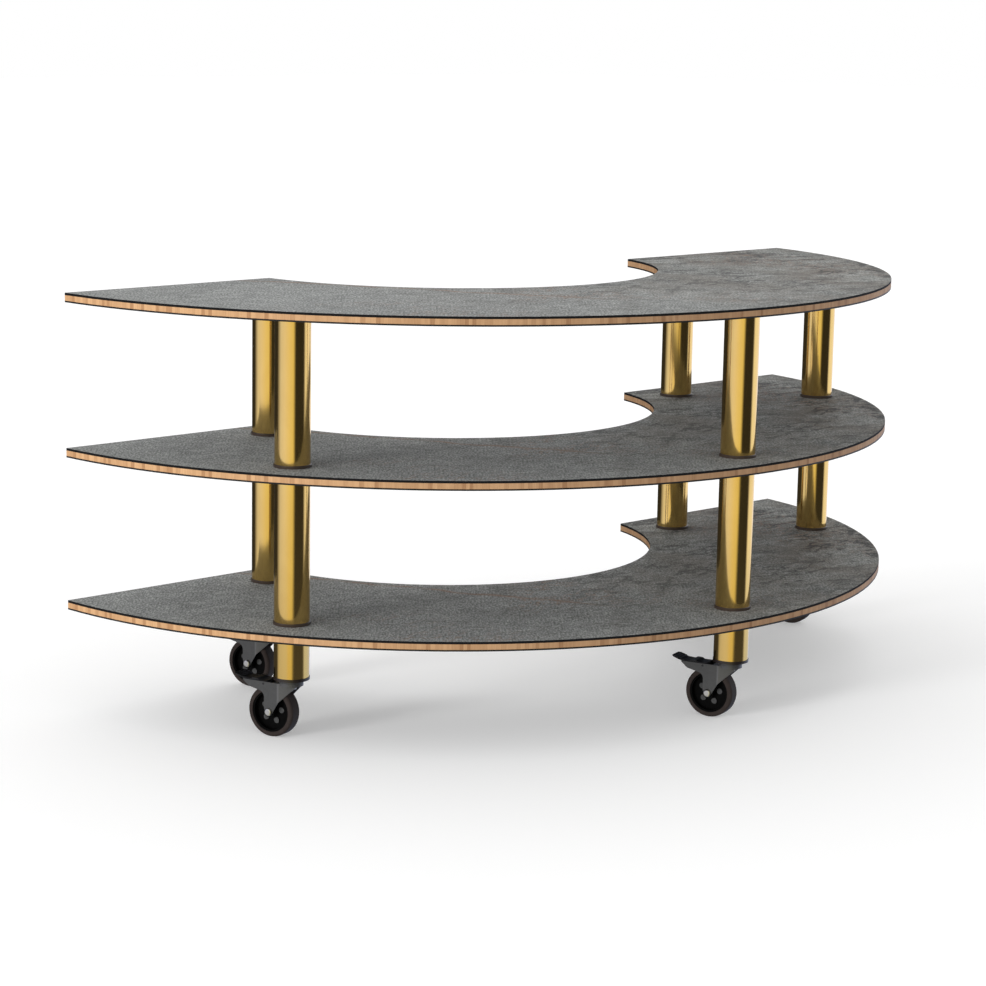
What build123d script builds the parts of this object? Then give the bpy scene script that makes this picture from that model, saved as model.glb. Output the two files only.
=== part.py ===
"""Half-ring buffet table: three sandwich boards on gold tube posts, rolling on braked swivel casters.

Millimetres, +Z up. The origin is on the floor under the middle of the table's bounding box. The
boards bulge towards -Y and the server stands in the bay on the +Y side.
"""

import os
from math import acos, atan2, cos, hypot, radians, sin, sqrt

from build123d import *

os.makedirs("parts", exist_ok=True)

# Boards
outer_radius = 1055
inner_radius = 512
inner_centre_forward = 12  # the boards are a little wider at their ends than in front
left_end_setback = 19  # from the outer arc's centre line to the left end
right_end_setback = 152  # the right end is cut shorter
face_thickness = 5
core_thickness = 11.5
backing_thickness = 3.5

# Posts and legs
post_diameter = 74
post_wall = 1.5
post_length = 300
leg_length = 90
outer_post_margin = 101  # post axis to the boards' outer edge
outer_post_step = 59.6  # degrees between neighbours
inner_post_margin = 100  # post axis to the boards' inner edge
inner_post_inset = 111  # post axis to the board's end
collar_height = 6.5
collar_overhang = 2
collar_round = 1.5
foot_collar_height = 6
foot_collar_overhang = 1

# Joint hardware inside the posts
plug_thickness = 12
stud_diameter = 12
stud_hole_clearance = 0.5
thread_clearance = 0.05
insert_diameter = 20
insert_cover = 2  # core left above the insert, under the face

# Caster wheels
wheel_diameter = 108
tyre_width = 32
tyre_depth = 10.5
tyre_round = 6
hub_overhang = 3.5  # boss beyond the tyre on each side
hub_rim_depth = 4
hub_rim_recess = 2  # rim inside the tyre on each side
hub_web = 8
hub_boss_diameter = 24
hub_lug_diameter = 13
hub_lug_height = 2
hub_lug_circle = 44
hub_lug_count = 5
hub_lug_turn = -8  # degrees from the nose, round the axle
axle_diameter = 8
sleeve_diameter = 12
axle_head_diameter = 17.5
axle_head_height = 4.5
axle_head_round = 4
nut_cap = 1
running_clearance = 0.05

# Caster forks
swivel_trail = 42
trail_angle = 108  # where the wheels point, degrees from +X
fork_sheet = 2
fork_side_clearance = 0.5
fork_headroom = 5
fork_plate = 4
fork_nose = 20
fork_nose_taper = 10  # narrowing of each side towards the nose
fork_nose_drop = 4
fork_bend = 19  # swivel axis back to the bend of the side plates
fork_bend_rise = 22.5  # lower end of the bend above the axle
fork_axle_round = 8.5
fork_leg_back = 11  # axle back to the rear edge of the side plates
fork_leg_rise = 8  # lower end of that edge above the axle
fork_rear = 105
fork_wing_end = 2
fork_wing_depth = 13.5
fork_wing_heel = 14  # rear end forward to the wing's full depth
fork_wing_root = 22
fork_wing_fillet = 14
plate_rear = 33

# Swivel heads
race_diameter = 50
race_height = 3
bearing_gap = 0.5
cap_height = 6
ball_diameter = 4.4
ball_count = 12
ball_circle = 36
groove_clearance = 0.4
stem_nut_flats = 19
stem_nut_height = 8
stem_nut_gap = 0.4

# Brake pedals
pedal_pivot_behind = 13  # axle back to the pivot
pedal_pivot_drop = 4.5
trunnion_diameter = 5
pedal_boss_diameter = 10
pedal_shoe_back = 18
pedal_shoe_drop = 6
pedal_travel = 12  # degrees, pressed
brake_gap = 0.6
pedal_reach = 129
pedal_root_rise = 1
pedal_hump_back = 78
pedal_hump_length = 22
pedal_hump_rise = 3
pedal_hump_round = 4
pedal_knee_rise = 2
pedal_knee_round = 12
pedal_tip_rise = 9
pedal_blade = 3
pedal_tip_blade = 1.6
pedal_side_gap = 2
pedal_wing_gap = 4
pedal_tip_width = 40
pedal_tip_round = 6
pedal_rib_height = 1
pedal_rib_count = 3

# Heights that follow from the stack
board_thickness = backing_thickness + core_thickness + face_thickness
fork_top = wheel_diameter + fork_headroom + fork_plate
race_top = fork_top + race_height
cap_bottom = race_top + bearing_gap
foot_bottom = cap_bottom + cap_height
leg_bottom = foot_bottom + foot_collar_height
tier_pitch = board_thickness + collar_height + post_length
board_bottoms = {
    "bottom": leg_bottom + leg_length,
    "middle": leg_bottom + leg_length + tier_pitch,
    "top": leg_bottom + leg_length + 2 * tier_pitch,
}

# Outer arc's centre in plan, so that the table's box is centred on the origin
left_reach = sqrt(outer_radius**2 - left_end_setback**2)
right_reach = sqrt(outer_radius**2 - right_end_setback**2)
centre_x = (left_reach - right_reach) / 2
outer_post_radius = outer_radius - outer_post_margin
inner_post_radius = inner_radius + inner_post_margin
left_inner_y = -left_end_setback - inner_post_inset
right_inner_y = -right_end_setback - inner_post_inset
left_inner_x = -sqrt(inner_post_radius**2 - (left_inner_y + inner_centre_forward) ** 2)
right_inner_x = sqrt(inner_post_radius**2 - (right_inner_y + inner_centre_forward) ** 2)
trail_x = cos(radians(trail_angle))
trail_y = sin(radians(trail_angle))
corner_back = pedal_reach - pedal_tip_round
corner_side = pedal_tip_width / 2 - pedal_tip_round
pedal_rear = corner_back * trail_y + corner_side * abs(trail_x) + pedal_tip_round
rearmost_end = -min(left_end_setback, right_end_setback)
rear_reach = max(rearmost_end, rearmost_end - inner_post_inset + pedal_rear)
centre_y = (outer_radius - rear_reach) / 2

side_step = radians(outer_post_step)
posts_from_centre = {
    "outer_left": (-outer_post_radius * sin(side_step), -outer_post_radius * cos(side_step)),
    "outer_middle": (0, -outer_post_radius),
    "outer_right": (outer_post_radius * sin(side_step), -outer_post_radius * cos(side_step)),
    "inner_left": (left_inner_x, left_inner_y),
    "inner_right": (right_inner_x, right_inner_y),
}
posts = {name: (x + centre_x, y + centre_y) for name, (x, y) in posts_from_centre.items()}
post_points = list(posts.values())

post_radius = post_diameter / 2
stud_radius = stud_diameter / 2
stud_hole_radius = stud_radius + stud_hole_clearance
thread_radius = stud_radius + thread_clearance
wheel_radius = wheel_diameter / 2
pedal_pivot_back = swivel_trail + pedal_pivot_behind
hub_width = tyre_width + 2 * hub_overhang
hub_rim_width = tyre_width - 2 * hub_rim_recess
fork_inner_width = hub_width + 2 * fork_side_clearance
fork_width = fork_inner_width + 2 * fork_sheet
nose_half_width = fork_width / 2 - fork_nose_taper


def save(part, label):
    part.label = label
    export_step(part, f"parts/{label}.step")


def at_posts(height):
    return Locations(*[(x, y, height) for x, y in post_points])


# Boards

def half_ring(height):
    with BuildSketch(Plane((centre_x, centre_y, height))) as ring:
        Circle(outer_radius)
        with Locations((0, -inner_centre_forward)):
            Circle(inner_radius, mode=Mode.SUBTRACT)
        with BuildLine():
            Polyline(
                (-2 * outer_radius, -left_end_setback),
                (0, -left_end_setback),
                (0, -right_end_setback),
                (2 * outer_radius, -right_end_setback),
                (2 * outer_radius, -2 * outer_radius),
                (-2 * outer_radius, -2 * outer_radius),
                close=True,
            )
        make_face(mode=Mode.INTERSECT)
    return ring.sketch


def board_layer(label, bottom, thickness, hole_radius):
    with BuildPart() as layer:
        extrude(half_ring(bottom), amount=thickness)
        if hole_radius:
            with at_posts(bottom + thickness):
                Hole(radius=hole_radius, depth=thickness)
    save(layer.part, label)


for tier in ("bottom", "middle"):
    backing_bottom = board_bottoms[tier]
    core_bottom = backing_bottom + backing_thickness
    face_bottom = core_bottom + core_thickness
    board_layer(f"{tier}_board_backing", backing_bottom, backing_thickness, stud_hole_radius)
    board_layer(f"{tier}_board_core", core_bottom, core_thickness, stud_hole_radius)
    board_layer(f"{tier}_board_face", face_bottom, face_thickness, stud_hole_radius)

# The top board takes blind inserts from below, so its face is unbroken
top_bottom = board_bottoms["top"]
top_core_bottom = top_bottom + backing_thickness
insert_radius = insert_diameter / 2
insert_length = backing_thickness + core_thickness - insert_cover
board_layer("top_board_backing", top_bottom, backing_thickness, insert_radius)
board_layer("top_board_face", top_core_bottom + core_thickness, face_thickness, None)

with BuildPart() as top_core:
    extrude(half_ring(top_core_bottom), amount=core_thickness)
    with BuildSketch(Plane.XY.offset(top_core_bottom)):
        with Locations(*post_points):
            Circle(insert_radius)
    extrude(amount=core_thickness - insert_cover, mode=Mode.SUBTRACT)
save(top_core.part, "top_board_core")

with BuildPart() as inserts:
    with BuildSketch(Plane.XY.offset(top_bottom)):
        with Locations(*post_points):
            Circle(insert_radius)
            Circle(thread_radius, mode=Mode.SUBTRACT)
    extrude(amount=insert_length)
save(inserts.part, "top_board_inserts")


# Posts and legs

tube_bottoms = {
    "leg": leg_bottom,
    "lower_post": board_bottoms["bottom"] + board_thickness + collar_height,
    "upper_post": board_bottoms["middle"] + board_thickness + collar_height,
}
tube_lengths = {"leg": leg_length, "lower_post": post_length, "upper_post": post_length}
tube_inner_radius = post_radius - post_wall

for kind, tube_bottom in tube_bottoms.items():
    for place, (x, y) in posts.items():
        with BuildPart() as tube:
            with BuildSketch(Plane((x, y, tube_bottom))):
                Circle(post_radius)
                Circle(tube_inner_radius, mode=Mode.SUBTRACT)
            extrude(amount=tube_lengths[kind])
        save(tube.part, f"{kind}_{place}")

# A threaded plug is flush with each end of each tube
with BuildPart() as plugs:
    for kind, tube_bottom in tube_bottoms.items():
        upper_plug_bottom = tube_bottom + tube_lengths[kind] - plug_thickness
        for plug_bottom in (tube_bottom, upper_plug_bottom):
            with BuildSketch(Plane.XY.offset(plug_bottom)):
                with Locations(*post_points):
                    Circle(tube_inner_radius - thread_clearance)
                    Circle(thread_radius, mode=Mode.SUBTRACT)
            extrude(amount=plug_thickness)
save(plugs.part, "tube_end_plugs")

with BuildPart() as collars:
    for tier in ("bottom", "middle"):
        with BuildSketch(Plane.XY.offset(board_bottoms[tier] + board_thickness)):
            with Locations(*post_points):
                Circle(post_radius + collar_overhang)
                Circle(stud_hole_radius, mode=Mode.SUBTRACT)
        extrude(amount=collar_height)
        upper_rims = collars.edges().group_by(Axis.Z)[-1].group_by(SortBy.RADIUS)[-1]
        fillet(upper_rims, radius=collar_round)
save(collars.part, "post_collars")

with BuildPart() as foot_collars:
    with BuildSketch(Plane.XY.offset(foot_bottom)):
        with Locations(*post_points):
            Circle(post_radius + foot_collar_overhang)
            Circle(stud_hole_radius, mode=Mode.SUBTRACT)
    extrude(amount=foot_collar_height)
save(foot_collars.part, "foot_collars")

# Studs join the plugs below and above each board, and end in the insert of the top board
with BuildPart() as studs:
    for tier, board_bottom in board_bottoms.items():
        engaged_above = board_thickness + collar_height + plug_thickness
        if tier == "top":
            engaged_above = insert_length
        with BuildSketch(Plane.XY.offset(board_bottom - plug_thickness)):
            with Locations(*post_points):
                Circle(stud_radius)
        extrude(amount=plug_thickness + engaged_above)
save(studs.part, "joint_studs")


# Swivel heads, fixed under the legs

plate_bottom = fork_top - fork_plate
stem_bottom = plate_bottom - stem_nut_gap - stem_nut_height
ball_plane_height = race_top + bearing_gap / 2
groove_radius = ball_diameter / 2 + groove_clearance

with BuildPart() as stems:
    with BuildSketch(Plane.XY.offset(stem_bottom)):
        with Locations(*post_points):
            Circle(stud_radius)
    extrude(amount=leg_bottom + plug_thickness - stem_bottom)
save(stems.part, "swivel_stems")

with BuildPart() as stem_nuts:
    with BuildSketch(Plane.XY.offset(stem_bottom)):
        with Locations(*post_points):
            RegularPolygon(radius=stem_nut_flats / 2, side_count=6, major_radius=False)
            Circle(thread_radius, mode=Mode.SUBTRACT)
    extrude(amount=stem_nut_height)
save(stem_nuts.part, "stem_nuts")

with BuildPart() as swivel_caps:
    with BuildSketch(Plane.XY.offset(cap_bottom)):
        with Locations(*post_points):
            Circle(race_diameter / 2)
            Circle(thread_radius, mode=Mode.SUBTRACT)
    extrude(amount=cap_height)
    with at_posts(ball_plane_height):
        Torus(ball_circle / 2, groove_radius, mode=Mode.SUBTRACT)
save(swivel_caps.part, "swivel_caps")

with BuildPart() as balls:
    with at_posts(ball_plane_height):
        with PolarLocations(ball_circle / 2, ball_count):
            Sphere(ball_diameter / 2)
save(balls.part, "bearing_balls")


# Casters. Each has its own plane on the floor: x forward of the swivel axis, the wheel trailing behind

def caster_floor(place):
    x, y = posts[place]
    return Plane(origin=(x, y, 0), x_dir=(-trail_x, -trail_y, 0), z_dir=(0, 0, 1))


def side_view(floor):
    return Plane(origin=floor.origin, x_dir=floor.x_dir, z_dir=-floor.y_dir)


def axle_view(floor, across):
    centre = floor.from_local_coords((-swivel_trail, across, wheel_radius))
    return Plane(origin=centre, x_dir=floor.x_dir, z_dir=floor.y_dir)


def spun_profile(floor):
    centre = floor.from_local_coords((-swivel_trail, 0, wheel_radius))
    return Plane(origin=centre, x_dir=floor.y_dir, z_dir=floor.x_dir)


def fork_plan(plane, rear, inset=0):
    with BuildSketch(plane) as plan:
        with BuildLine():
            Polyline(
                (-rear, fork_width / 2),
                (-fork_bend, fork_width / 2),
                (fork_nose, nose_half_width),
                (fork_nose, -nose_half_width),
                (-fork_bend, -fork_width / 2),
                (-rear, -fork_width / 2),
                close=True,
            )
        make_face()
        if inset:
            offset(amount=-inset, kind=Kind.INTERSECTION, mode=Mode.REPLACE)
    return plan.sketch


def around_axle(turn):
    return (-swivel_trail + fork_axle_round * cos(turn), wheel_radius + fork_axle_round * sin(turn))


def fork_side(plane):
    bend_run = swivel_trail - fork_bend
    bend_span = hypot(bend_run, fork_bend_rise)
    leg_span = hypot(fork_leg_back, fork_leg_rise)
    front_turn = atan2(fork_bend_rise, bend_run) - acos(fork_axle_round / bend_span)
    rear_turn = atan2(fork_leg_rise, -fork_leg_back) + acos(fork_axle_round / leg_span)
    leg_rear = -swivel_trail - fork_leg_back
    wing_root = fork_top - fork_wing_root
    heel_x = -fork_rear + fork_wing_heel
    heel_z = fork_top - fork_wing_depth
    with BuildSketch(plane) as side:
        with BuildLine():
            Polyline(
                (fork_nose, fork_top),
                (fork_nose, fork_top - fork_nose_drop),
                (-fork_bend, wheel_radius + fork_bend_rise),
                around_axle(front_turn),
                around_axle(rear_turn),
                (leg_rear, wheel_radius + fork_leg_rise),
                (leg_rear, wing_root),
                (heel_x, heel_z),
                (-fork_rear, fork_top - fork_wing_end),
                (-fork_rear, fork_top),
                close=True,
            )
        make_face()
        root = side.vertices().sort_by_distance((leg_rear, wing_root))[0]
        heel = side.vertices().sort_by_distance((heel_x, heel_z))[0]
        fillet([root, heel], radius=fork_wing_fillet)
        with Locations((-swivel_trail, wheel_radius)):
            Circle(fork_axle_round)
    return side.sketch


def build_fork(place):
    floor = caster_floor(place)
    side = side_view(floor)
    with BuildPart() as fork:
        extrude(fork_plan(floor, 2 * fork_rear), amount=fork_top)
        extrude(fork_plan(floor, 3 * fork_rear, fork_sheet), amount=fork_top, mode=Mode.SUBTRACT)
        extrude(fork_side(side), amount=fork_width, both=True, mode=Mode.INTERSECT)
        extrude(fork_plan(floor.offset(plate_bottom), plate_rear), amount=fork_plate)
        with BuildSketch(floor.offset(plate_bottom)):
            Circle(race_diameter / 2)
        extrude(amount=fork_plate + race_height)
        with Locations(floor.offset(ball_plane_height)):
            Torus(ball_circle / 2, groove_radius, mode=Mode.SUBTRACT)
        with Locations(floor.offset(race_top)):
            Hole(radius=stud_radius + running_clearance)
        with Locations(axle_view(floor, fork_width)):
            Hole(radius=axle_diameter / 2 + thread_clearance)
        with BuildSketch(side):
            with Locations((-pedal_pivot_back, fork_top - pedal_pivot_drop)):
                Circle(trunnion_diameter / 2 + running_clearance)
        extrude(amount=fork_width, both=True, mode=Mode.SUBTRACT)
    save(fork.part, f"fork_{place}")


# Wheels: a rubber tyre on a moulded hub, which turns on the axle's sleeve

hub_radius = wheel_radius - tyre_depth
sleeve_radius = sleeve_diameter / 2
hub_bore_radius = sleeve_radius + running_clearance


def build_tyre(place):
    floor = caster_floor(place)
    with BuildPart() as tyre:
        with BuildSketch(axle_view(floor, -tyre_width / 2)):
            Circle(wheel_radius)
            Circle(hub_radius, mode=Mode.SUBTRACT)
        extrude(amount=tyre_width)
        shoulders = tyre.edges().filter_by(GeomType.CIRCLE).sort_by(SortBy.RADIUS)[-2:]
        fillet(shoulders, radius=tyre_round)
    save(tyre.part, f"tyre_{place}")


def build_hub(place):
    floor = caster_floor(place)
    rim_inner = hub_radius - hub_rim_depth
    boss_radius = hub_boss_diameter / 2
    with BuildPart() as hub:
        with BuildSketch(spun_profile(floor)):
            with BuildLine():
                Polyline(
                    (hub_width / 2, hub_bore_radius),
                    (hub_width / 2, boss_radius),
                    (hub_web / 2, boss_radius),
                    (hub_web / 2, rim_inner),
                    (hub_rim_width / 2, rim_inner),
                    (hub_rim_width / 2, hub_radius),
                    (-hub_rim_width / 2, hub_radius),
                    (-hub_rim_width / 2, rim_inner),
                    (-hub_web / 2, rim_inner),
                    (-hub_web / 2, boss_radius),
                    (-hub_width / 2, boss_radius),
                    (-hub_width / 2, hub_bore_radius),
                    close=True,
                )
            make_face()
        revolve(axis=Axis(axle_view(floor, 0).origin, floor.y_dir))
        with BuildSketch(axle_view(floor, 0)):
            with PolarLocations(hub_lug_circle / 2, hub_lug_count, start_angle=hub_lug_turn):
                Circle(hub_lug_diameter / 2)
        extrude(amount=hub_web / 2 + hub_lug_height, both=True)
    save(hub.part, f"hub_{place}")


def build_axle(place):
    floor = caster_floor(place)
    grip = fork_width / 2
    shank_radius = axle_diameter / 2
    bore_radius = shank_radius + thread_clearance
    head_radius = axle_head_diameter / 2
    nut_end = grip + axle_head_height
    with BuildPart() as axle:
        with BuildSketch(spun_profile(floor)):
            with Locations((0, (bore_radius + sleeve_radius) / 2)):
                Rectangle(fork_inner_width, sleeve_radius - bore_radius)
            with BuildLine():
                Polyline(
                    (-grip - axle_head_height, 0),
                    (-grip - axle_head_height, head_radius),
                    (-grip, head_radius),
                    (-grip, shank_radius),
                    (nut_end - 2 * nut_cap, shank_radius),
                    (nut_end - 2 * nut_cap, 0),
                    close=True,
                )
            make_face()
            with BuildLine():
                Polyline(
                    (grip, bore_radius),
                    (grip, head_radius),
                    (nut_end, head_radius),
                    (nut_end, 0),
                    (nut_end - nut_cap, 0),
                    (nut_end - nut_cap, bore_radius),
                    close=True,
                )
            make_face()
        revolve(axis=Axis(axle_view(floor, 0).origin, floor.y_dir))
        ends = axle.faces().filter_by(GeomType.PLANE).sort_by(Axis(floor.origin, floor.y_dir))
        fillet([ends[0].edges()[0], ends[-1].edges()[0]], radius=axle_head_round)
    save(axle.part, f"axle_{place}")


# Brake pedals, on trunnions moulded into them. Pressing the tip lowers the shoe to the tyre

def pedal_side(plane):
    pivot_x = -pedal_pivot_back
    pivot_z = fork_top - pedal_pivot_drop
    shoe_x = pivot_x - pedal_shoe_back
    shoe_z = pivot_z - pedal_shoe_drop
    pressed = radians(pedal_travel)
    pressed_x = pivot_x - pedal_shoe_back * cos(pressed) + pedal_shoe_drop * sin(pressed)
    pressed_z = pivot_z - pedal_shoe_drop * cos(pressed) - pedal_shoe_back * sin(pressed)
    shoe_reach = hypot(pressed_x + swivel_trail, pressed_z - wheel_radius)
    root_x = pivot_x + pedal_boss_diameter / 2
    hump_x = -pedal_hump_back
    knee_x = -fork_rear
    root_z = fork_top + pedal_root_rise
    hump_z = root_z + pedal_hump_rise
    knee_z = fork_top + pedal_knee_rise
    tip_z = fork_top + pedal_tip_rise
    with BuildSketch(plane) as side:
        with BuildLine():
            Polyline(
                (root_x, root_z),
                (hump_x + pedal_hump_length / 2, root_z),
                (hump_x + pedal_hump_length / 4, hump_z),
                (hump_x - pedal_hump_length / 4, hump_z),
                (hump_x - pedal_hump_length / 2, root_z),
                (knee_x, knee_z),
                (-pedal_reach, tip_z),
                (-pedal_reach, tip_z - pedal_tip_blade),
                (knee_x, knee_z - pedal_blade),
                (root_x, root_z - pedal_blade),
                close=True,
            )
        make_face()
        hump = side.vertices().sort_by_distance((hump_x, hump_z))[:2]
        fillet(hump, radius=pedal_hump_round)
        knee = side.vertices().sort_by_distance((knee_x, knee_z - pedal_blade / 2))[:2]
        fillet(knee, radius=pedal_knee_round)
        with BuildLine():
            Polyline(
                (pivot_x, pivot_z),
                (shoe_x, shoe_z),
                (shoe_x, root_z),
                (pivot_x, root_z),
                close=True,
            )
        make_face()
        with Locations((pivot_x, pivot_z)):
            Circle(pedal_boss_diameter / 2)
        with Locations((shoe_x, shoe_z)):
            Circle(shoe_reach - wheel_radius - brake_gap)
        for rib in range(1, pedal_rib_count + 1):
            share = rib / (pedal_rib_count + 1)
            rib_x = knee_x - share * (pedal_reach + knee_x)
            rib_z = knee_z + share * (tip_z - knee_z)
            with Locations((rib_x, rib_z)):
                Circle(pedal_rib_height)
    return side.sketch


def pedal_plan(plane):
    front_x = -pedal_pivot_back + pedal_boss_diameter / 2
    step_x = -fork_rear - pedal_wing_gap
    narrow = fork_inner_width / 2 - pedal_side_gap
    wide = pedal_tip_width / 2
    with BuildSketch(plane) as plan:
        with BuildLine():
            Polyline(
                (front_x, narrow),
                (step_x, narrow),
                (step_x - wide + narrow, wide),
                (-pedal_reach, wide),
                (-pedal_reach, -wide),
                (step_x - wide + narrow, -wide),
                (step_x, -narrow),
                (front_x, -narrow),
                close=True,
            )
        make_face()
        fillet(plan.vertices().group_by(Axis.X)[0], radius=pedal_tip_round)
    return plan.sketch


def build_pedal(place):
    floor = caster_floor(place)
    side = side_view(floor)
    with BuildPart() as pedal:
        extrude(pedal_side(side), amount=pedal_tip_width, both=True)
        extrude(pedal_plan(floor), amount=2 * fork_top, mode=Mode.INTERSECT)
        with BuildSketch(side):
            with Locations((-pedal_pivot_back, fork_top - pedal_pivot_drop)):
                Circle(trunnion_diameter / 2)
        extrude(amount=fork_width / 2, both=True)
    save(pedal.part, f"pedal_{place}")


for place in posts:
    build_fork(place)
    build_tyre(place)
    build_hub(place)
    build_axle(place)
    build_pedal(place)
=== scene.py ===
from math import degrees, pi, radians

import bmesh
import bpy
from mathutils import Matrix, Vector


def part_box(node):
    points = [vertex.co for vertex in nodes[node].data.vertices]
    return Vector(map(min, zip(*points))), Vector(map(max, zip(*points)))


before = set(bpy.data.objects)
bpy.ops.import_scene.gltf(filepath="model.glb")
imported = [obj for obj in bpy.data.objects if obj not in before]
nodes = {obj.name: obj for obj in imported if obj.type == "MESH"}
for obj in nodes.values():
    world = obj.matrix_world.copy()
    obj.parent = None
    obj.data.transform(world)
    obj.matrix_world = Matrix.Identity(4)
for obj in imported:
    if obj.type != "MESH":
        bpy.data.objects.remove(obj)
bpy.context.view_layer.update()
places = ("outer_left", "outer_middle", "outer_right", "inner_left", "inner_right")
print("frame loaded:", len(nodes), "nodes")


# Node helpers: sockets are given by name, and a socket as value is linked
def setSocket(tree, socket, value):
    if isinstance(value, bpy.types.NodeSocket):
        tree.links.new(value, socket)
    else:
        socket.default_value = value


def addNode(tree, kind, inputs=None, **settings):
    made = tree.nodes.new("ShaderNode" + kind)
    for name, value in settings.items():
        setattr(made, name, value)
    for name, value in (inputs or {}).items():
        setSocket(tree, made.inputs[name], value)
    return made


def doMath(tree, operation, first, second=0.0, third=0.0):
    made = addNode(tree, "Math", operation=operation)
    for socket, value in zip(made.inputs, (first, second, third)):
        setSocket(tree, socket, value)
    return made.outputs[0]


def mixColour(tree, share, first, second, blend="MIX"):
    made = addNode(tree, "Mix", data_type="RGBA", blend_type=blend)
    for index, value in ((0, share), (6, first), (7, second)):
        setSocket(tree, made.inputs[index], value)
    return made.outputs[2]


def grey(value):
    return (value, value, value, 1)


# A stop's colour is a grey value or red, green and blue
def ramp(tree, value, stops):
    made = addNode(tree, "ValToRGB", {"Fac": value})
    elements = made.color_ramp.elements
    while len(elements) < len(stops):
        elements.new(0.5)
    for element, (position, colour) in zip(elements, stops):
        element.position = position
        element.color = grey(colour) if isinstance(colour, (int, float)) else (*colour, 1)
    return made.outputs["Color"]


def mapRange(tree, value, low, high, top=1.0, **settings):
    inputs = {"Value": value, "From Min": low, "From Max": high, "To Max": top}
    return addNode(tree, "MapRange", inputs, **settings).outputs[0]


def noise(tree, coords, scale, detail=4.0, roughness=0.5, distortion=0.0):
    inputs = {"Vector": coords, "Scale": scale, "Detail": detail}
    inputs |= {"Roughness": roughness, "Distortion": distortion}
    return addNode(tree, "TexNoise", inputs).outputs["Fac"]


def stretched(tree, coords, scale, turn=0.0, shift=(0, 0, 0)):
    inputs = {"Vector": coords, "Scale": scale, "Rotation": (0, 0, turn), "Location": shift}
    return addNode(tree, "Mapping", inputs).outputs["Vector"]


def axes(tree, vector):
    return addNode(tree, "SeparateXYZ", {"Vector": vector}).outputs


def upwardNormal(tree):
    return axes(tree, addNode(tree, "TexCoord").outputs["Normal"])["Z"]


def bumped(tree, shader, height, strength, distance):
    inputs = {"Height": height, "Strength": strength, "Distance": distance}
    setSocket(tree, shader.inputs["Normal"], addNode(tree, "Bump", inputs).outputs["Normal"])


def newMaterial(name):
    made = bpy.data.materials.new(name)
    made.use_nodes = True
    tree = made.node_tree
    shader = tree.nodes["Principled BSDF"]
    coords = addNode(tree, "TexCoord").outputs["Object"]
    return made, tree, shader, coords


def paint(material, *names):
    for name in names:
        for slot in nodes[name].material_slots:
            slot.material = material


# Grain and wear that several finishes share, each as a node group
wear = {
    "fineShare": 0.45,
    "coarseShare": 0.55,
    "coarseScale": 0.12,  # of the fine grain's scale
    "smudgeScale": 2.2,
    "smudgeStretch": (7, 7, 3),
    "hairStretch": (40, 40, 1800),
}


def newGroup(name, inputs, outputs):
    made = bpy.data.node_groups.new(name, "ShaderNodeTree")
    for label, value in inputs.items():
        socket = made.interface.new_socket(label, in_out="INPUT", socket_type="NodeSocketFloat")
        socket.default_value = value
    made.interface.new_socket("Vector", in_out="INPUT", socket_type="NodeSocketVector")
    for label in outputs:
        made.interface.new_socket(label, in_out="OUTPUT", socket_type="NodeSocketFloat")
    return made, made.nodes.new("NodeGroupInput"), made.nodes.new("NodeGroupOutput")


def placeGroup(tree, group, coords, **values):
    made = tree.nodes.new("ShaderNodeGroup")
    made.node_tree = group
    setSocket(tree, made.inputs["Vector"], coords)
    for label, value in values.items():
        made.inputs[label].default_value = value
    return made.outputs


# Fine grain of a moulded or sprayed skin: its tone and its height
def makeSkinGrain():
    group, given, result = newGroup("skinGrain", {"Size": 900.0}, ("Tone", "Height"))
    coords, scale = given.outputs["Vector"], given.outputs["Size"]
    fine = noise(group, coords, scale, detail=2.0, roughness=0.6)
    coarseScale = doMath(group, "MULTIPLY", scale, wear["coarseScale"])
    coarse = noise(group, coords, coarseScale, detail=4.0, roughness=0.55)
    tone = doMath(group, "MULTIPLY", coarse, wear["coarseShare"])
    tone = doMath(group, "MULTIPLY_ADD", fine, wear["fineShare"], tone)
    setSocket(group, result.inputs["Tone"], tone)
    setSocket(group, result.inputs["Height"], fine)
    return group


# Wiped smudges and hair scratches of handled metal: a roughness mask and a height
def makeHandling():
    group, given, result = newGroup("handling", {"Scratch": 0.5}, ("Smudge", "Height"))
    coords = given.outputs["Vector"]
    wiped = stretched(group, coords, wear["smudgeStretch"])
    smudge = noise(group, wiped, wear["smudgeScale"], detail=5.0, roughness=0.62, distortion=0.6)
    hair = noise(group, stretched(group, coords, wear["hairStretch"]), 1.0, detail=2.0)
    setSocket(group, result.inputs["Smudge"], smudge)
    setSocket(group, result.inputs["Height"], doMath(group, "MULTIPLY", hair, given.outputs["Scratch"]))
    return group


skinGrain = makeSkinGrain()
handling = makeHandling()


# Roughness, gloss and relief of a grained skin, given back with the tone that its colour follows
def skinTone(tree, shader, coords, look):
    grain = placeGroup(tree, skinGrain, coords, Size=look["grain"])
    smoothest = look["roughness"] - look["spread"] / 2
    roughness = doMath(tree, "MULTIPLY_ADD", grain["Tone"], look["spread"], smoothest)
    setSocket(tree, shader.inputs["Roughness"], roughness)
    shader.inputs["Specular IOR Level"].default_value = look["specular"]
    bumped(tree, shader, grain["Height"], look["relief"], look["depth"])
    return grain["Tone"]


def skinFinish(name, look):
    made, tree, shader, coords = newMaterial(name)
    tone = skinTone(tree, shader, coords, look)
    setSocket(tree, shader.inputs["Base Color"], ramp(tree, tone, look["tones"]))
    return made


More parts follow.
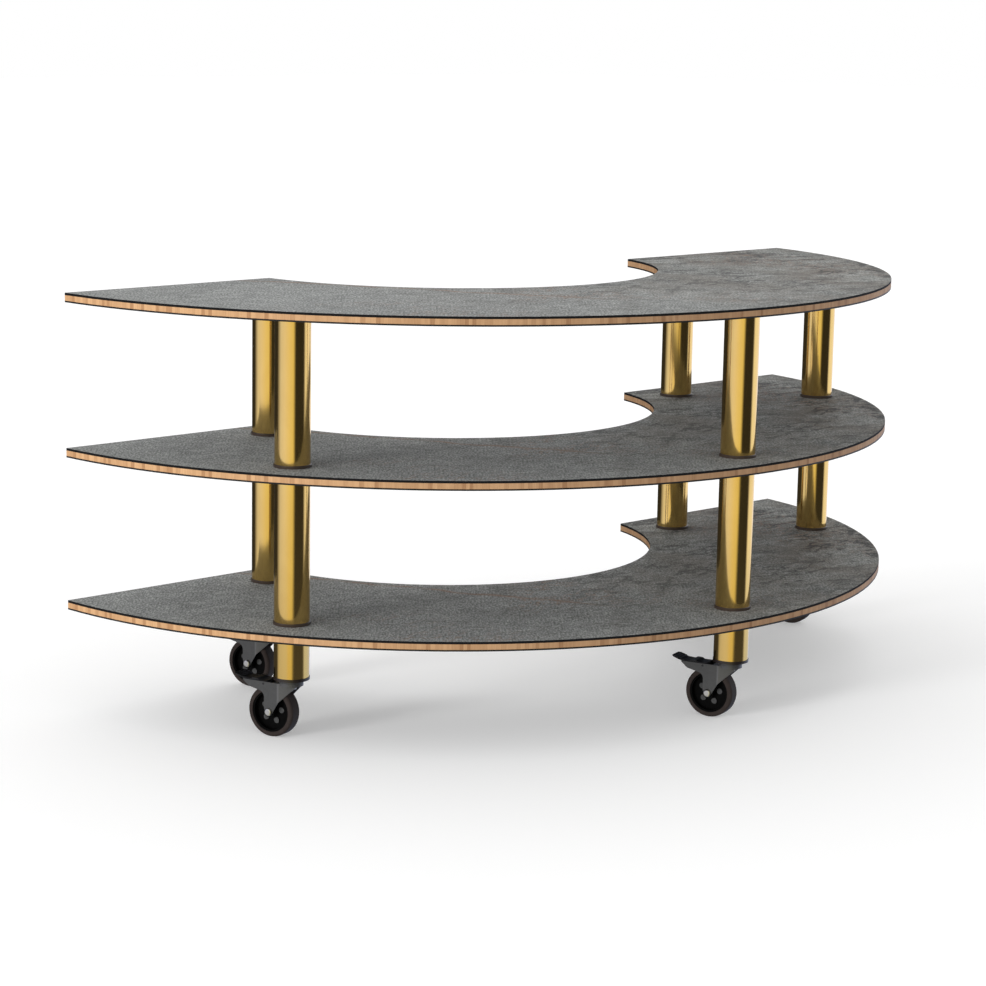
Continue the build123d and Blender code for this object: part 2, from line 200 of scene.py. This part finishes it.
def metalFinish(name, look):
    made, tree, shader, coords = newMaterial(name)
    marks = placeGroup(tree, handling, coords, Scratch=look["scratch"])
    setSocket(tree, shader.inputs["Base Color"], ramp(tree, marks["Smudge"], look["tones"]))
    smoothest = look["roughness"] - look["spread"] / 2
    roughness = doMath(tree, "MULTIPLY_ADD", marks["Smudge"], look["spread"], smoothest)
    setSocket(tree, shader.inputs["Roughness"], roughness)
    shader.inputs["Metallic"].default_value = 1.0
    bumped(tree, shader, marks["Height"], look["relief"], look["depth"])
    return made


# Board faces: a slate-look sheet with a black cut edge
slate = {
    "tones": ((0.0, (0.055, 0.057, 0.056)), (0.5, (0.266, 0.273, 0.266)), (1.0, (0.560, 0.570, 0.550))),
    "edge": (0.008, 0.008, 0.009),
    "roughness": 0.85,
    "spread": 0.25,
    "specular": 0.08,
    "relief": 0.5,
    "depth": 0.0010,
    "mottleRelief": 0.6,
    "grainRelief": 0.3,
    "seamRelief": 0.4,
    "warpScale": 7.0,
    "warp": 0.06,
    "rightFrom": -0.6,
    "rightTo": 0.7,
    "rightTone": (0.86, 0.85, 0.82),
    "cloudScale": 2.2,
    "cloudDepth": 0.30,
    "mottleScale": 26.0,
    "mottleDepth": 0.4,
    "mottleRight": 0.5,
    "grainScale": 230.0,
    "grainDepth": 1.7,
    "cleft": radians(48),
    "cleftShare": 0.36,
    "brown": (0.150, 0.125, 0.100),
    "brownScale": 5.0,
    "brownPatch": ((0.44, 0.0), (0.62, 1.0)),
    "brownShare": 0.6,
    "seam": (0.050, 0.048, 0.045),
    "seamShare": 0.85,
    "crackScale": 9.0,
    "crackStretch": (0.55, 1.2, 1),
    "crackShift": (3, 1, 0),
    "crackLine": ((0.0, 1.0), (0.016, 0.75), (0.034, 0.0)),
    "crackLeft": 0.2,  # what is left of the cracks at the left end
    "gapScale": 4.0,
    "crackGaps": ((0.40, 0.0), (0.54, 1.0)),
    "strokeStretch": (30, 95, 1),
    "strokeShare": ((0.57, 0.0), (0.68, 0.6)),
    "strokeLeft": 0.4,
    "rust": (0.26, 0.14, 0.085),
    "rustScale": 2.0,
    "rustShift": (5, 2, 0),
    "rustRim": ((0.030, 0.0), (0.038, 1.0), (0.050, 0.0)),
    "rustPlaces": ((0.56, 0.0), (0.66, 0.7)),
    "threadTurn": radians(62.4),
    "threadAt": -0.242,
    "threadLine": ((0.0, 1.0), (0.004, 0.8), (0.009, 0.0)),
    "wearScale": 11.0,
    "threadWear": ((0.36, 0.1), (0.52, 0.65)),
    "threadEnd": ((0.30, 1.0), (0.36, 0.0)),
}


# Clouds, mottle and the grain of the cleft, with brown patches to the right
def slateStone(tree, flat, warped, rightward):
    cloud = noise(tree, warped, slate["cloudScale"], detail=4.0, roughness=0.55)
    mottle = noise(tree, warped, slate["mottleScale"], detail=6.0, roughness=0.62)
    turned = stretched(tree, flat, (1, 1, 1), turn=-slate["cleft"])
    along = stretched(tree, turned, (slate["cleftShare"], 1, 1))
    grain = noise(tree, along, slate["grainScale"], detail=2.0, roughness=0.7)
    mottleDepth = doMath(tree, "MULTIPLY_ADD", rightward, slate["mottleRight"], slate["mottleDepth"])
    layers = ((cloud, slate["cloudDepth"]), (mottle, mottleDepth), (grain, slate["grainDepth"]))
    tone = 0.5
    for layer, depth in layers:
        tone = doMath(tree, "MULTIPLY_ADD", doMath(tree, "SUBTRACT", layer, 0.5), depth, tone)
    stone = ramp(tree, tone, slate["tones"])
    stone = mixColour(tree, rightward, stone, (*slate["rightTone"], 1), "MULTIPLY")
    patch = noise(tree, warped, slate["brownScale"], detail=5.0, roughness=0.65)
    patch = ramp(tree, patch, slate["brownPatch"])
    brown = doMath(tree, "MULTIPLY", doMath(tree, "MULTIPLY", patch, rightward), slate["brownShare"])
    return mixColour(tree, brown, stone, (*slate["brown"], 1)), mottle, grain


# A share that grows to the right until it is whole
def growing(tree, rightward, least):
    return doMath(tree, "MULTIPLY_ADD", rightward, 1 - least, least)


# Distance from a wandering crack line, and the mask of the cracks and short strokes
def slateSeams(tree, flat, warped, rightward):
    ridged = stretched(tree, warped, slate["crackStretch"], shift=slate["crackShift"])
    ridge = noise(tree, ridged, slate["crackScale"], detail=5.0, roughness=0.62)
    line = doMath(tree, "ABSOLUTE", doMath(tree, "SUBTRACT", ridge, 0.5))
    crack = ramp(tree, line, slate["crackLine"])
    broken = ramp(tree, noise(tree, flat, slate["gapScale"], detail=3.0), slate["crackGaps"])
    broken = doMath(tree, "MULTIPLY", broken, growing(tree, rightward, slate["crackLeft"]))
    brushed = stretched(tree, warped, slate["strokeStretch"])
    stroke = ramp(tree, noise(tree, brushed, 1.0, detail=3.0, roughness=0.6), slate["strokeShare"])
    stroke = doMath(tree, "MULTIPLY", stroke, growing(tree, rightward, slate["strokeLeft"]))
    return line, doMath(tree, "MAXIMUM", doMath(tree, "MULTIPLY", crack, broken), stroke)


# One rusty thread wanders across the left half
def rustyThread(tree, flat, warped, rightward):
    across = axes(tree, stretched(tree, warped, (1, 1, 1), turn=slate["threadTurn"]))["Y"]
    away = doMath(tree, "ABSOLUTE", doMath(tree, "SUBTRACT", across, slate["threadAt"]))
    thread = ramp(tree, away, slate["threadLine"])
    patchy = ramp(tree, noise(tree, flat, slate["wearScale"], detail=3.0), slate["threadWear"])
    leftOnly = ramp(tree, rightward, slate["threadEnd"])
    return doMath(tree, "MULTIPLY", doMath(tree, "MULTIPLY", thread, patchy), leftOnly)


# Short rusty rims follow some of the cracks
def rustyRims(tree, flat, line):
    moved = stretched(tree, flat, (1, 1, 1), shift=slate["rustShift"])
    where = noise(tree, moved, slate["rustScale"], detail=1.0)
    rim = ramp(tree, line, slate["rustRim"])
    return doMath(tree, "MULTIPLY", rim, ramp(tree, where, slate["rustPlaces"]))


def slateFinish():
    made, tree, shader, coords = newMaterial("slateLaminate")
    flat = stretched(tree, coords, (1, 1, 0))
    warp = addNode(tree, "TexNoise", {"Vector": flat, "Scale": slate["warpScale"], "Detail": 3.0})
    warped = mixColour(tree, slate["warp"], flat, warp.outputs["Color"], "ADD")
    # towards the right the sheet is darker, browner and more broken
    rightward = mapRange(tree, axes(tree, warped)["X"], slate["rightFrom"], slate["rightTo"])
    stone, mottle, grain = slateStone(tree, flat, warped, rightward)
    line, seam = slateSeams(tree, flat, warped, rightward)
    stone = mixColour(tree, doMath(tree, "MULTIPLY", seam, slate["seamShare"]), stone, (*slate["seam"], 1))
    thread = rustyThread(tree, flat, warped, rightward)
    rust = doMath(tree, "MAXIMUM", rustyRims(tree, flat, line), thread)
    stone = mixColour(tree, rust, stone, (*slate["rust"], 1))
    upward = doMath(tree, "GREATER_THAN", upwardNormal(tree), 0.5)
    setSocket(tree, shader.inputs["Base Color"], mixColour(tree, upward, (*slate["edge"], 1), stone))
    roughness = doMath(tree, "MULTIPLY_ADD", mottle, -slate["spread"], slate["roughness"])
    setSocket(tree, shader.inputs["Roughness"], roughness)
    shader.inputs["Specular IOR Level"].default_value = slate["specular"]
    height = doMath(tree, "MULTIPLY", grain, slate["grainRelief"])
    height = doMath(tree, "MULTIPLY_ADD", mottle, slate["mottleRelief"], height)
    height = doMath(tree, "MULTIPLY_ADD", seam, -slate["seamRelief"], height)
    bumped(tree, shader, doMath(tree, "MULTIPLY", height, upward), slate["relief"], slate["depth"])
    return made


# Board cores: strips of unequal width, each with its own tone, paler at the left end because painted shade
# darkens the rest of the band, as if lit from the left
wood = {
    "outerRadius": 1.055,
    "tones": ((0.15, (0.66, 0.402, 0.208)), (0.85, (0.38, 0.200, 0.093))),
    # painted shade: the band is darkened from the left end onwards
    "paintedShade": (0.63, 0.63, 0.65),
    "paintedShadeFrom": -1.0,
    "paintedShadeTo": -0.3,
    "strip": 0.009,
    "slant": 0.4,  # how far the strips lean from the radius
    "sway": 0.05,
    "swayStretch": (9, 0, 0),
    "grainStretch": (420, 60, 26),
    "fleckStretch": (1500, 400, 120),
    "toneShift": -0.05,
    "toneShare": 0.3,
    "grainShare": 0.6,
    "fleckShare": 0.2,
    "streak": ((0.86, 0.0), (0.90, 0.2)),
    "joint": (0.25, 0.12, 0.05),
    "jointShare": 0.03,
    "jointDepth": 0.35,
    "roughness": 0.42,
    "spread": 0.25,
    "specular": 0.25,
    "relief": 0.3,
    "depth": 0.0004,
}
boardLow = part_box("top_board_face")[0]
legLow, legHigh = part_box("leg_outer_middle")
arcCentre = Vector(((legLow.x + legHigh.x) / 2, boardLow.y + wood["outerRadius"], 0))


def coreFinish():
    made, tree, shader, coords = newMaterial("woodCore")
    plan = axes(tree, stretched(tree, coords, (1, 1, 1), shift=tuple(-arcCentre)))
    flat = addNode(tree, "CombineXYZ", {"X": plan["X"], "Y": plan["Y"]}).outputs[0]
    radius = addNode(tree, "VectorMath", {0: flat}, operation="LENGTH").outputs["Value"]
    turn = doMath(tree, "ARCTAN2", plan["X"], doMath(tree, "MULTIPLY", plan["Y"], -1.0))
    along = doMath(tree, "MULTIPLY_ADD", turn, radius, doMath(tree, "MULTIPLY", radius, wood["slant"]))
    band = addNode(tree, "CombineXYZ", {"X": along, "Y": radius, "Z": plan["Z"]}).outputs[0]
    sway = noise(tree, stretched(tree, band, wood["swayStretch"]), 1.0, detail=2.0)
    share = doMath(tree, "DIVIDE", doMath(tree, "MULTIPLY_ADD", sway, wood["sway"], along), wood["strip"])
    number = doMath(tree, "FLOOR", share)
    tone = addNode(tree, "TexWhiteNoise", {"W": number}, noise_dimensions="1D").outputs["Value"]
    fibres = stretched(tree, band, wood["grainStretch"])
    grain = noise(tree, fibres, 1.0, detail=5.0, roughness=0.6, distortion=0.4)
    fleck = noise(tree, stretched(tree, band, wood["fleckStretch"]), 1.0, detail=2.0, roughness=0.6)
    layers = ((tone, wood["toneShare"]), (grain, wood["grainShare"]), (fleck, wood["fleckShare"]))
    mixed = wood["toneShift"]
    for layer, depth in layers:
        mixed = doMath(tree, "MULTIPLY_ADD", layer, depth, mixed)
    mixed = doMath(tree, "ADD", mixed, ramp(tree, tone, wood["streak"]))
    colour = ramp(tree, mixed, wood["tones"])
    joint = doMath(tree, "LESS_THAN", doMath(tree, "FRACT", share), wood["jointShare"])
    colour = mixColour(tree, doMath(tree, "MULTIPLY", joint, wood["jointDepth"]), colour, (*wood["joint"], 1))
    # painted shade: away from the left end the band is darker, as if lit from the left
    paintedShade = mapRange(tree, plan["X"], wood["paintedShadeFrom"], wood["paintedShadeTo"])
    colour = mixColour(tree, paintedShade, colour, (*wood["paintedShade"], 1), "MULTIPLY")
    setSocket(tree, shader.inputs["Base Color"], colour)
    roughness = doMath(tree, "MULTIPLY_ADD", grain, wood["spread"], wood["roughness"])
    setSocket(tree, shader.inputs["Roughness"], roughness)
    shader.inputs["Specular IOR Level"].default_value = wood["specular"]
    bumped(tree, shader, doMath(tree, "SUBTRACT", grain, joint), wood["relief"], wood["depth"])
    return made


# Board backings
backing = {
    "tones": ((0.3, 0.008), (0.7, 0.017)),
    "grain": 700.0,
    "roughness": 0.5,
    "spread": 0.3,
    "specular": 0.2,
    "relief": 0.15,
    "depth": 0.0003,
}
boardFinishes = {"face": slateFinish(), "core": coreFinish(), "backing": skinFinish("blackLaminate", backing)}
for tier in ("bottom", "middle", "top"):
    for layer, finish in boardFinishes.items():
        paint(finish, f"{tier}_board_{layer}")
print("boards finished")


# Posts, legs and collars
tube = {
    "gold": {
        "tones": ((0.3, (0.80, 0.55, 0.19)), (0.7, (0.76, 0.51, 0.17))),
        "roughness": 0.13,
        "spread": 0.14,
        "scratch": 0.6,
        "relief": 0.05,
        "depth": 0.0002,
    },
    "collar": {
        "tones": ((0.3, (0.028, 0.019, 0.014)), (0.7, (0.050, 0.033, 0.024))),
        "grain": 1200.0,
        "roughness": 0.35,
        "spread": 0.3,
        "specular": 0.5,
        "relief": 0.08,
        "depth": 0.0002,
    },
    # foot collars: dark bronze darkened further to near black, as painted shade of the narrow gap between leg
    # and fork
    "footShadeTones": ((0.3, (0.010, 0.007, 0.006)), (0.7, (0.018, 0.011, 0.009))),
}
polishedGold = metalFinish("polishedGold", tube["gold"])
for place in places:
    paint(polishedGold, f"upper_post_{place}", f"lower_post_{place}", f"leg_{place}")
paint(skinFinish("darkBronze", tube["collar"]), "post_collars")
# dark bronze with painted shade of the gap under the leg
paint(skinFinish("blackBronzeShaded", tube["collar"] | {"tones": tube["footShadeTones"]}), "foot_collars")
print("posts finished")


# Casters
caster = {
    "heading": radians(108),
    "fold": 0.019,  # swivel axis back to the bend of the side plates
    # from foldCore to the colour below: a painted highlight along the fold and painted light on the web in
    # front of it
    "foldCore": 0.0008,
    "foldWidth": 0.0022,
    "webReach": 0.045,
    "webHighlightShare": 0.5,
    "paintedHighlight": (0.095, 0.095, 0.098),
    "lugRadius": 0.0062,
    "lugCircle": 0.022,
    "lugTurn": radians(8),
    "lugCount": 5,
    "lugTones": ((0.3, 0.045), (0.7, 0.075)),
    "coat": {
        "tones": ((0.3, 0.034), (0.7, 0.050)),
        "grain": 1400.0,
        "roughness": 0.36,
        "spread": 0.16,
        "specular": 0.5,
        "relief": 0.15,
        "depth": 0.0003,
    },
    "rubber": {
        "tones": ((0.3, (0.020, 0.015, 0.0135)), (0.7, (0.036, 0.027, 0.025))),
        "grain": 800.0,
        "roughness": 0.72,
        "spread": 0.25,
        "specular": 0.25,
        "relief": 0.2,
        "depth": 0.0004,
    },
    "hub": {
        # black plastic darkened to near zero: painted shade of the deep hub recess
        "tones": ((0.3, 0.0015), (0.7, 0.004)),
        "grain": 1500.0,
        "roughness": 0.55,
        "spread": 0.2,
        "specular": 0.03,
        "relief": 0.1,
        "depth": 0.0002,
    },
    "pedal": {
        "tones": ((0.3, (0.008, 0.008, 0.009)), (0.7, (0.017, 0.017, 0.019))),
        "grain": 1500.0,
        "roughness": 0.42,
        "spread": 0.2,
        "specular": 0.3,
        "relief": 0.15,
        "depth": 0.0003,
    },
    "bright": {
        "tones": ((0.3, (0.56, 0.55, 0.53)), (0.7, (0.46, 0.45, 0.43))),
        "roughness": 0.32,
        "spread": 0.2,
        "scratch": 0.4,
        "relief": 0.05,
        "depth": 0.0002,
    },
    "zinc": {
        "tones": ((0.3, 0.62), (0.7, 0.45)),
        "roughness": 0.36,
        "spread": 0.2,
        "scratch": 0.8,
        "relief": 0.05,
        "depth": 0.0002,
    },
}


# Coordinates about a caster's own point, turned so that X points to the fork's nose
def fromPoint(tree, coords, point):
    turn = pi - caster["heading"]
    shift = Matrix.Rotation(turn, 4, "Z") @ point
    return axes(tree, stretched(tree, coords, (1, 1, 1), turn, tuple(-shift)))


# Powder coat with painted light: a painted highlight along the fold of the side plates, and painted light on
# the web in front of it
def forkFinish(place):
    made, tree, shader, coords = newMaterial(f"forkCoat_{place}")
    tone = skinTone(tree, shader, coords, caster["coat"])
    low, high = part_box(f"leg_{place}")
    ahead = fromPoint(tree, coords, ((low + high) / 2) * Vector((1, 1, 0)))["X"]
    ahead = doMath(tree, "ADD", ahead, caster["fold"])
    # painted highlight: a bright line along the fold, and painted light on the web that fades away from the
    # fold
    stops = ((0.0, 1.0), (caster["foldCore"], 0.9), (caster["foldWidth"], 0.0))
    fold = ramp(tree, doMath(tree, "ABSOLUTE", ahead), stops)
    webHighlight = mapRange(tree, ahead, caster["webReach"], 0.0, caster["webHighlightShare"])
    webHighlight = doMath(tree, "MULTIPLY", webHighlight, doMath(tree, "GREATER_THAN", ahead, 0.0))
    upright = doMath(tree, "LESS_THAN", doMath(tree, "ABSOLUTE", upwardNormal(tree)), 0.3)
    paintedHighlight = doMath(tree, "MULTIPLY", doMath(tree, "MAXIMUM", fold, webHighlight), upright)
    plain = ramp(tree, tone, caster["coat"]["tones"])
    setSocket(tree, shader.inputs["Base Color"], mixColour(tree, paintedHighlight, plain, (*caster["paintedHighlight"], 1)))
    return made


# Mask of the round lugs about the axle
def lugMask(tree, coords, place):
    low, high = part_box(f"hub_{place}")
    spot = fromPoint(tree, coords, (low + high) / 2)
    squares = doMath(tree, "MULTIPLY_ADD", spot["Z"], spot["Z"], doMath(tree, "POWER", spot["X"], 2.0))
    radius = doMath(tree, "SQRT", squares)
    perTurn = caster["lugCount"] / (2 * pi)
    share = doMath(tree, "MULTIPLY", doMath(tree, "ARCTAN2", spot["Z"], spot["X"]), perTurn)
    share = doMath(tree, "ADD", share, 0.5 - caster["lugTurn"] * perTurn)
    around = doMath(tree, "SUBTRACT", doMath(tree, "FRACT", share), 0.5)
    across = doMath(tree, "MULTIPLY", doMath(tree, "MULTIPLY", around, 1 / perTurn), radius)
    outward = doMath(tree, "SUBTRACT", radius, caster["lugCircle"])
    squares = doMath(tree, "MULTIPLY_ADD", across, across, doMath(tree, "MULTIPLY", outward, outward))
    return doMath(tree, "LESS_THAN", doMath(tree, "SQRT", squares), caster["lugRadius"])


# A black plastic hub, its black deepened as painted shade of the recessed web, with round lugs painted grey
def hubFinish(place):
    made, tree, shader, coords = newMaterial(f"hubPlastic_{place}")
    tone = skinTone(tree, shader, coords, caster["hub"])
    plain = ramp(tree, tone, caster["hub"]["tones"])
    patchy = ramp(tree, tone, caster["lugTones"])
    setSocket(tree, shader.inputs["Base Color"], mixColour(tree, lugMask(tree, coords, place), plain, patchy))
    return made


tyreRubber = skinFinish("tyreRubber", caster["rubber"])
pedalPlastic = skinFinish("pedalPlastic", caster["pedal"])
brightPlate = metalFinish("brightPlate", caster["bright"])
zincPlate = metalFinish("zincPlate", caster["zinc"])
for place in places:
    paint(forkFinish(place), f"fork_{place}")
    paint(tyreRubber, f"tyre_{place}")
    paint(hubFinish(place), f"hub_{place}")
    paint(pedalPlastic, f"pedal_{place}")
    paint(brightPlate, f"axle_{place}")
paint(skinFinish("powderCoat", caster["coat"]), "swivel_caps")
paint(zincPlate, "tube_end_plugs", "joint_studs", "top_board_inserts")
paint(zincPlate, "swivel_stems", "stem_nuts", "bearing_balls")
print("casters finished")


# Studio: a white floor that keeps the shadow, and panels round the table with a ceiling above.
# Each band goes round by azimuth in degrees, where 0 is the table's right and -90 its front.
studio = {
    "floorHalf": 40.0,
    "floorTone": 0.8,
    "floorGlow": 0.27,
    "ceiling": 0.66,
    "ceilingFrom": 0.45,
    "ceilingTo": 0.9,
    "panels": (
        (-180, (1.00, 1.00, 1.08)),
        (-152, (1.02, 0.97, 0.72)),
        (-126, (0.95, 0.88, 0.50)),
        (-112, (0.035, 0.035, 0.035)),
        (-56, (0.035, 0.035, 0.035)),
        (-42, (1.10, 1.15, 1.35)),
        (42, (1.10, 1.15, 1.35)),
        (56, (0.035, 0.035, 0.035)),
        (120, (0.035, 0.035, 0.035)),
        (150, (0.86, 0.90, 1.10)),
        (180, (1.00, 1.00, 1.08)),
    ),
    "lowPanels": (
        (-180, (0.66, 0.66, 0.62)),
        (-165, (0.66, 0.66, 0.60)),
        (-150, (0.74, 0.64, 0.34)),
        (-132, (0.72, 0.64, 0.30)),
        (-120, (0.085, 0.085, 0.085)),
        (-52, (0.085, 0.085, 0.085)),
        (-38, (0.60, 0.70, 0.95)),
        (44, (0.60, 0.70, 0.95)),
        (56, (0.05, 0.05, 0.05)),
        (126, (0.06, 0.06, 0.06)),
        (138, (0.60, 0.60, 0.58)),
        (180, (0.66, 0.66, 0.62)),
    ),
    "lowFrom": -0.20,
    "lowTo": -0.24,
    "fill": (
        (-180, 1.0),
        (-150, 1.02),
        (-126, 1.1),
        (-100, 0.98),
        (-70, 0.95),
        (-40, 1.0),
        (40, 1.25),
        (70, 1.2),
        (110, 1.15),
        (140, 1.05),
        (180, 1.0),
    ),
    "suns": {
        "softTop": {"strength": 0.25, "angle": radians(60), "tilt": radians(30), "from": radians(55)},
        "softSide": {"strength": 2.0, "angle": radians(16), "tilt": radians(81), "from": radians(178)},
    },
}


def floorPaper():
    made = bpy.data.materials.new("floorPaper")
    made.use_nodes = True
    tree = made.node_tree
    tree.nodes.clear()
    path = addNode(tree, "LightPath").outputs
    seen = doMath(tree, "MAXIMUM", path["Is Camera Ray"], path["Is Transmission Ray"])
    seen = doMath(tree, "MAXIMUM", seen, path["Is Glossy Ray"])
    paper = addNode(tree, "BsdfDiffuse", {"Color": grey(studio["floorTone"])}).outputs[0]
    glowStrength = doMath(tree, "MULTIPLY", seen, studio["floorGlow"])
    glow = addNode(tree, "Emission", {"Strength": glowStrength}).outputs[0]
    both = addNode(tree, "AddShader", {0: paper, 1: glow}).outputs[0]
    clear = addNode(tree, "BsdfTransparent").outputs[0]
    below = addNode(tree, "NewGeometry").outputs["Backfacing"]
    mixed = addNode(tree, "MixShader", {0: below, 1: both, 2: clear}).outputs[0]
    addNode(tree, "OutputMaterial", {"Surface": mixed})
    return made


def makeFloor():
    mesh = bpy.data.meshes.new("floor")
    shape = bmesh.new()
    bmesh.ops.create_grid(shape, x_segments=1, y_segments=1, size=studio["floorHalf"])
    shape.to_mesh(mesh)
    shape.free()
    mesh.materials.append(floorPaper())
    floor = bpy.data.objects.new("floor", mesh)
    bpy.context.scene.collection.objects.link(floor)
    floor.visible_glossy = False  # metal shows the studio panels instead


# Metal shows panels with dark gaps between them, and matt surfaces take the even fill instead
def makeWorld():
    world = bpy.data.worlds.new("studio")
    bpy.context.scene.world = world
    world.use_nodes = True
    tree = world.node_tree
    tree.nodes.clear()
    direction = axes(tree, addNode(tree, "TexCoord").outputs["Generated"])
    azimuth = doMath(tree, "ARCTAN2", direction["Y"], direction["X"])
    share = doMath(tree, "MULTIPLY_ADD", azimuth, 0.5 / pi, 0.5)
    overhead = mapRange(tree, direction["Z"], studio["ceilingFrom"], studio["ceilingTo"],
                        interpolation_type="SMOOTHSTEP")
    low = mapRange(tree, direction["Z"], studio["lowFrom"], studio["lowTo"])
    bands = {}
    for name in ("fill", "panels", "lowPanels"):
        bands[name] = ramp(tree, share, [((angle + 180) / 360, colour) for angle, colour in studio[name]])
    # low down the panels are duller, as a floor in shadow reflects them
    bands["panels"] = mixColour(tree, low, bands["panels"], bands["lowPanels"])
    lights = {}
    for name in ("fill", "panels"):
        light = mixColour(tree, overhead, bands[name], grey(studio["ceiling"]))
        lights[name] = addNode(tree, "Background", {"Color": light, "Strength": 1.0}).outputs[0]
    white = addNode(tree, "Background", {"Color": grey(1.0), "Strength": 1.0}).outputs[0]
    path = addNode(tree, "LightPath").outputs
    inputs = {0: path["Is Glossy Ray"], 1: lights["fill"], 2: lights["panels"]}
    lit = addNode(tree, "MixShader", inputs).outputs[0]
    seen = doMath(tree, "MAXIMUM", path["Is Camera Ray"], path["Is Transmission Ray"])
    mixed = addNode(tree, "MixShader", {0: seen, 1: lit, 2: white}).outputs[0]
    addNode(tree, "OutputWorld", {"Surface": mixed})


# Each sun is tilted from straight overhead towards the azimuth it comes from
def makeSun(name, settings):
    data = bpy.data.lights.new(name, "SUN")
    data.energy = settings["strength"]
    data.angle = settings["angle"]
    lamp = bpy.data.objects.new(name, data)
    turn = Matrix.Rotation(settings["from"], 4, "Z")
    lamp.matrix_world = turn @ Matrix.Rotation(settings["tilt"], 4, "Y")
    lamp.visible_glossy = False  # metal shows the panels only
    bpy.context.scene.collection.objects.link(lamp)


makeFloor()
makeWorld()
for name, settings in studio["suns"].items():
    makeSun(name, settings)
print("studio lit")


# Camera at the photograph's place
photoCamera = {
    "spot": (-4.19932, -4.08889, 1.49049),
    "yaw": 0.743121,
    "pitch": 0.180222,
    "roll": 0.014957,
    "sensor": 36,
    "lens": 97.466,
    "shiftX": 0.05,
}


def makeCamera():
    data = bpy.data.cameras.new("photoCamera")
    data.sensor_width = photoCamera["sensor"]
    data.lens = photoCamera["lens"]
    data.shift_x = photoCamera["shiftX"]
    made = bpy.data.objects.new("photoCamera", data)
    aim = Matrix.Rotation(-photoCamera["yaw"], 4, "Z")
    aim @= Matrix.Rotation(pi / 2 - photoCamera["pitch"], 4, "X")
    aim @= Matrix.Rotation(photoCamera["roll"], 4, "Z")
    made.matrix_world = Matrix.Translation(photoCamera["spot"]) @ aim
    bpy.context.scene.collection.objects.link(made)
    bpy.context.scene.camera = made


makeCamera()
bpy.context.scene.view_settings.view_transform = "Standard"
print("camera placed, yaw", round(degrees(photoCamera["yaw"]), 1))
